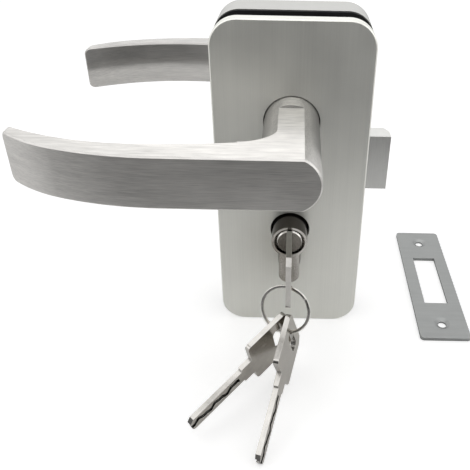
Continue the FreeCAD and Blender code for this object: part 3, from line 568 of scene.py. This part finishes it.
def track_key(name, end, along, across, phase):
    key = extruded(name, [key_outline(), slot_outline()], -KEY_HALF, KEY_HALF)
    cutters = [track_cutter(1, phase), track_cutter(-1, phase + FACE_PHASE)]
    for cutter in cutters:
        cut = key.modifiers.new("track", "BOOLEAN")
        cut.operation = "DIFFERENCE"
        cut.object = cutter
    soft = key.modifiers.new("edges", "BEVEL")
    soft.width = KEY_SOFT
    soft.segments = 2
    soft.limit_method = "ANGLE"
    soft.angle_limit = math.radians(50)
    bpy.context.view_layer.update()
    shaped = key.evaluated_get(bpy.context.evaluated_depsgraph_get())
    mesh = bpy.data.meshes.new_from_object(shaped)
    key.modifiers.clear()
    key.data = mesh
    for cutter in cutters:
        bpy.data.objects.remove(cutter)
    mark_faces(mesh)
    u = Vector(along).normalized()
    v = (Vector(across) - u * u.dot(Vector(across))).normalized()
    turn = Matrix((u, v, u.cross(v))).transposed().to_4x4()
    mesh.transform(Matrix.Translation(end) @ turn @ Matrix.Scale(MM, 4))
    mesh.materials.clear()
    mesh.materials.append(materials["nickel_key"])
    return key


# Each key's body, its bow's outer end in line with the blade, and its directions along and across.
key_poses = {
    "key_in_lock": ("key", Vector((0, -65.0, 58.95)) * MM, (0, 1, 0), (0, 0, 1)),
    "key_left": ("hanging_left", ring_centre + Vector((1.61, 4.15, -15.63)) * MM,
                 (-0.6773, -0.6793, -0.2826), (0.1328, 0.2649, -0.9551)),
    "key_right": ("hanging_right", ring_centre + Vector((4.29, 3.82, -14.24)) * MM,
                  (-0.2267, -0.8942, -0.3859), (0.1754, 0.3523, -0.9193)),
}
for phase, (name, (body, end, along, across)) in enumerate(key_poses.items()):
    key = track_key("track_" + name, end, along, across, phase * KEY_PHASE)
    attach(key, body)
    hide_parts(name)


# Floor and world

FLOOR_HALF, FLOOR_GLOW = 4.0, 0.45
# The part of the floor's glow that reflections show. More of it makes the plates too bright.
FLOOR_MIRRORED = 0.2
FIBRE_SCALE, PAPER_LOW, PAPER_HIGH = 40, (0.80, 0.80, 0.80), (0.84, 0.84, 0.84)
# The world as the lamps' fill light, where white is 1.
WORLD_LIGHT = 0.56


def sheet(name, corners):
    mesh = bpy.data.meshes.new(name)
    mesh.from_pydata(corners, [], [(0, 1, 2, 3)])
    return placed(name, mesh)


def shown_rays(g, mirrored):
    # One for the camera's rays and those through glass, and mirrored for reflected ones.
    ray = g.add("LightPath").outputs
    direct = g.maths("MAXIMUM", ray["Is Camera Ray"], ray["Is Transmission Ray"])
    return g.maths("MAXIMUM", direct, g.maths("MULTIPLY", ray["Is Glossy Ray"], mirrored))


h = FLOOR_HALF
floor = sheet("floor", [(-h, -h, 0), (h, -h, 0), (h, h, 0), (-h, h, 0)])
floor_material = new_material("floor_paper")
g = Graph(floor_material)
paper = g.add("BsdfDiffuse")
fibres = g.spread(g.noise(g.mapped((FIBRE_SCALE,) * 3), 3.0), 0.0, 1.0)
g.link(g.mix(fibres, PAPER_LOW, PAPER_HIGH), paper.inputs["Color"])
glow = g.add("Emission")
glow.inputs["Color"].default_value = (1, 1, 1, 1)
g.link(g.maths("MULTIPLY", shown_rays(g, FLOOR_MIRRORED), FLOOR_GLOW), glow.inputs["Strength"])
both = g.add("AddShader")
g.link(paper.outputs[0], both.inputs[0])
g.link(glow.outputs[0], both.inputs[1])
g.link(both.outputs[0], g.add("OutputMaterial").inputs["Surface"])
floor.data.materials.append(floor_material)

world = bpy.data.worlds.new("studio")
bpy.context.scene.world = world
world.use_nodes = True
world.node_tree.nodes.clear()
g = Graph(world)
mixed = g.add("MixShader")
g.link(shown_rays(g, 1.0), mixed.inputs[0])
for socket, tone in ((1, WORLD_LIGHT), (2, 1)):
    background = g.add("Background")
    background.inputs["Color"].default_value = (tone, tone, tone, 1)
    g.link(background.outputs[0], mixed.inputs[socket])
g.link(mixed.outputs[0], g.add("OutputWorld").inputs["Surface"])


# Lamps

def softbox(name, place, target, width, height, radiance):
    data = bpy.data.lights.new(name, "AREA")
    data.shape = "RECTANGLE"
    data.size = width
    data.size_y = height
    data.energy = radiance * math.pi * width * height
    lamp = placed(name, data)
    lamp.location = place
    lamp.rotation_euler = (Vector(target) - Vector(place)).to_track_quat("-Z", "Y").to_euler()


for name, look in {
    "top_box": dict(place=(-0.05, 0.05, 0.95), target=(0, 0, 0.1), width=1.2, height=1.2, radiance=0.6),
    "back_box": dict(place=(0.0, 1.25, 0.75), target=(0, 0, 0.1), width=2.2, height=0.9, radiance=0.16),
    "left_box": dict(place=(-0.9, -0.35, 0.55), target=(0, 0, 0.08), width=0.6, height=0.8, radiance=0.6),
    "right_box": dict(place=(0.95, -0.25, 0.5), target=(0, 0, 0.08), width=0.5, height=0.8, radiance=0.95),
}.items():
    softbox(name, **look)


# Dark cards behind the camera and on the table below it, that only reflections show

CARD_HALF, CARD_LIFT = 0.7, 0.001


def dark_card(name, first, second, tone):
    # first and second are the card's two long edges, each given as y and z.
    edges = ((-1, first), (1, first), (1, second), (-1, second))
    corners = [(side * CARD_HALF, y, z) for side, (y, z) in edges]
    card = sheet(name, corners)
    material = new_material(name)
    g = Graph(material)
    cloth = g.add("BsdfDiffuse")
    cloth.inputs["Color"].default_value = (tone, tone, tone, 1)
    g.link(cloth.outputs[0], g.add("OutputMaterial").inputs["Surface"])
    card.data.materials.append(material)
    card.visible_camera = False
    card.visible_shadow = False
    card.visible_diffuse = False


dark_card("card_behind", (-0.62, 0.0), (-0.68, 0.6), 0.04)
dark_card("card_low", (-0.62, CARD_LIFT), (-0.18, CARD_LIFT), 0.12)


# Camera at the photograph's place

YAW, PITCH, ROLL = (math.radians(a) for a in (-0.03, 31.14, -1.17))
FOCUS_PX, CENTRE_X, CENTRE_Y, IMAGE = 587.1, 293.8, 191.8, 470
CAMERA_AT_MM, SENSOR_MM = (1.67, -260.72, 223.47), 36
forward = Vector((math.sin(YAW) * math.cos(PITCH), math.cos(YAW) * math.cos(PITCH), -math.sin(PITCH)))
level = Vector((math.cos(YAW), -math.sin(YAW), 0))
below = forward.cross(level)
right = level * math.cos(ROLL) + below * math.sin(ROLL)
down = below * math.cos(ROLL) - level * math.sin(ROLL)
camera_data = bpy.data.cameras.new("camera")
camera_data.sensor_width = SENSOR_MM
camera_data.lens = FOCUS_PX / IMAGE * SENSOR_MM
camera_data.shift_x = (IMAGE / 2 - CENTRE_X) / IMAGE
camera_data.shift_y = (CENTRE_Y - IMAGE / 2) / IMAGE
camera_data.clip_start = 0.01
camera = placed("camera", camera_data)
turn = Matrix((right, -down, -forward)).transposed().to_4x4()
camera.matrix_world = Matrix.Translation(Vector(CAMERA_AT_MM) * MM) @ turn
bpy.context.scene.camera = camera
bpy.context.scene.view_settings.view_transform = "Standard"
